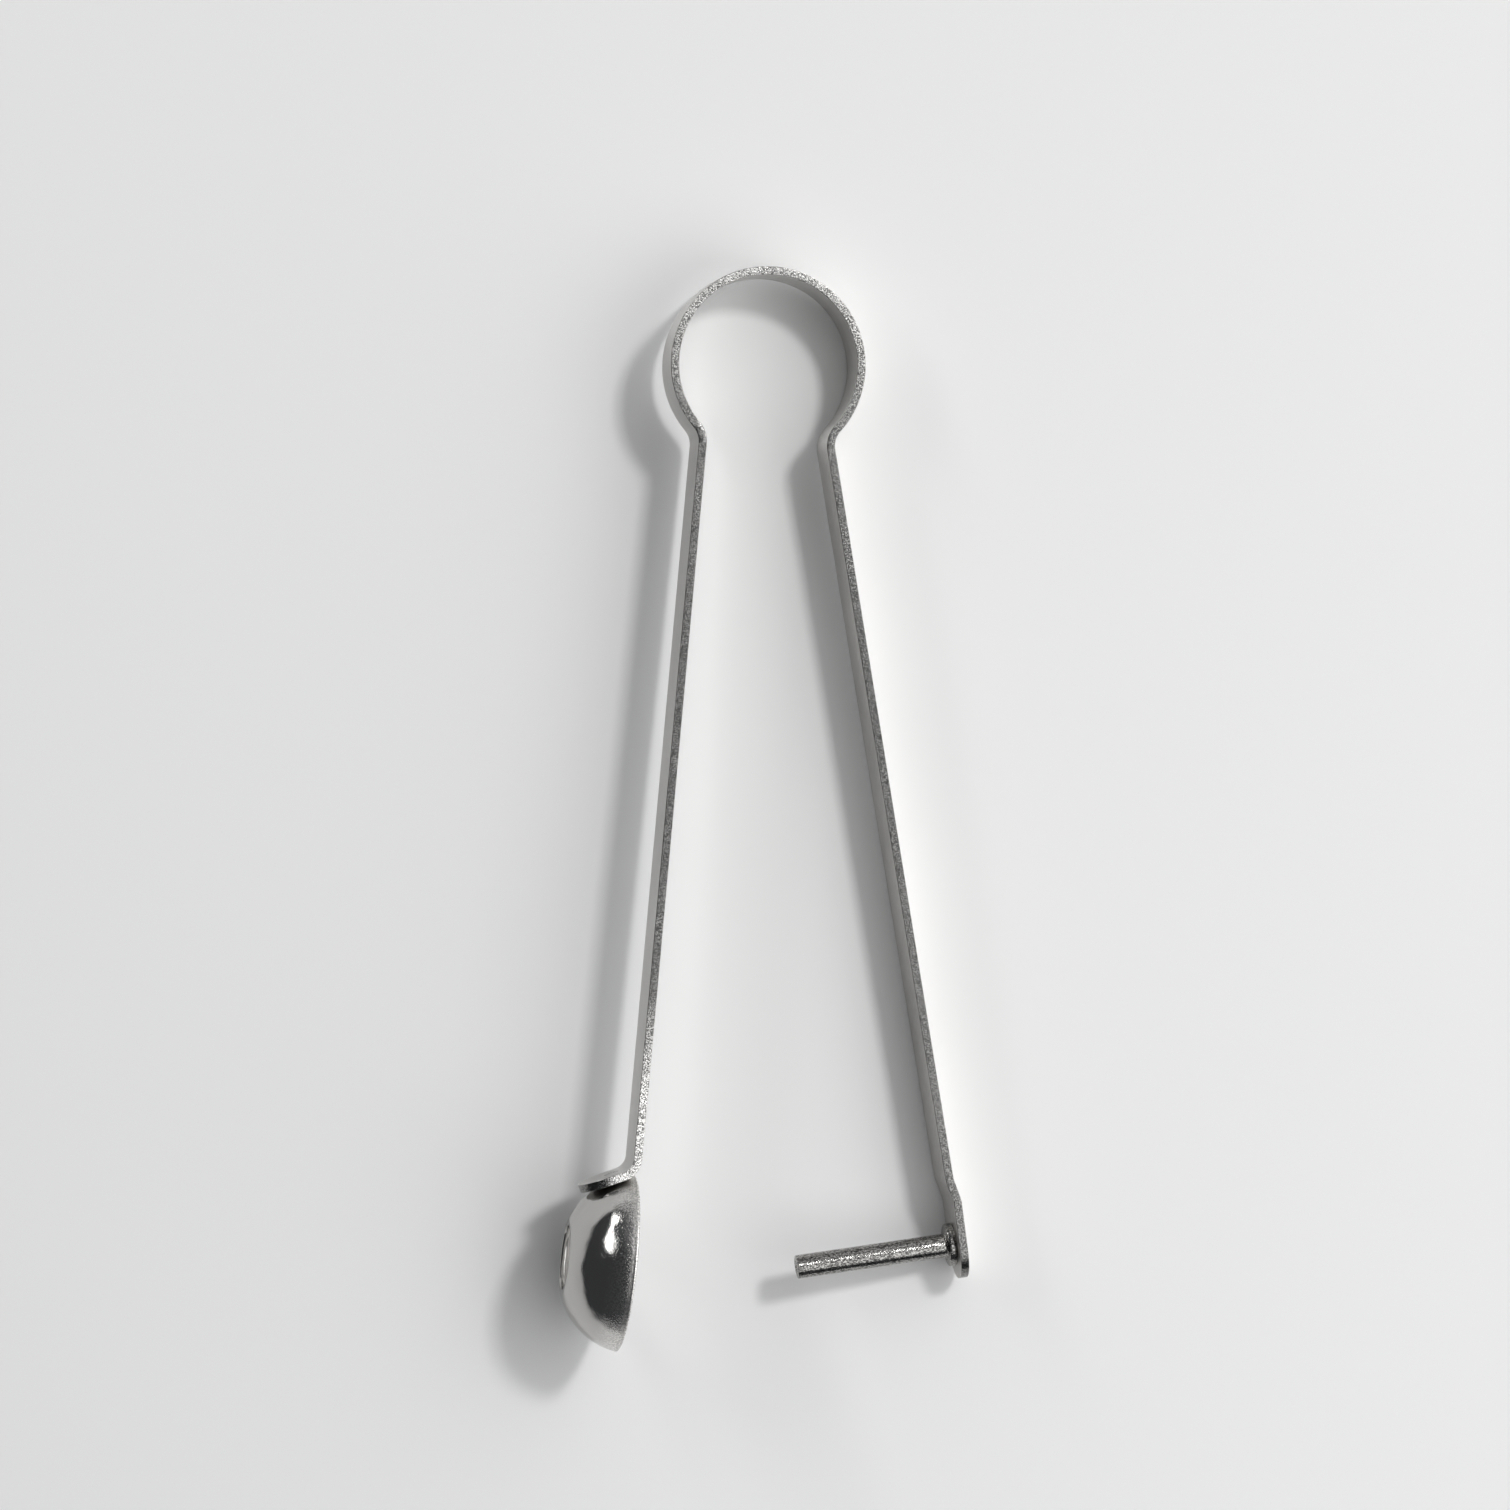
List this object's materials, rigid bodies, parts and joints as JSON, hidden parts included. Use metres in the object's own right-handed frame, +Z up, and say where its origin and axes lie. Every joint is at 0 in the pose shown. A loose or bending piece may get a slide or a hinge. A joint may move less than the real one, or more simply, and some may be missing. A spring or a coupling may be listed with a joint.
{
  "type": "cherry pitter",
  "caption": "Spring-steel tong with a round hanging loop; squeezing its arms drives a punch through a drawn cup with a pit hole.",
  "frame": {"origin": "on the table that the tool lies on, at the middle of its footprint", "axes": "+Y along the tool towards the hanging loop, +X from the cup arm towards the punch arm, +Z up from the table"},
  "size_m": [0.0714, 0.1869, 0.0301],
  "materials": {
    "strip": "satin",
    "cup": "polished",
    "rivet": "satin",
    "punch": "polished"
  },
  "bodies": {
    "cup_side": {"cup_arm": "strip", "spring_loop": "strip", "cup": "cup", "cup_rivet": "rivet"},
    "punch_side": {"punch_arm": "strip", "punch": "punch"}
  },
  "joints": [
    {"name": "squeeze", "type": "hinge", "parent": "cup_side", "child": "punch_side", "pos_m": [0.00005, 0.07641, 0.0082], "axis": [-0.1624, -0.0187, -0.9866], "range_deg": [0, 17], "stiffness_Nm_per_rad": 5, "deforming": ["spring_loop"]}
  ]
}
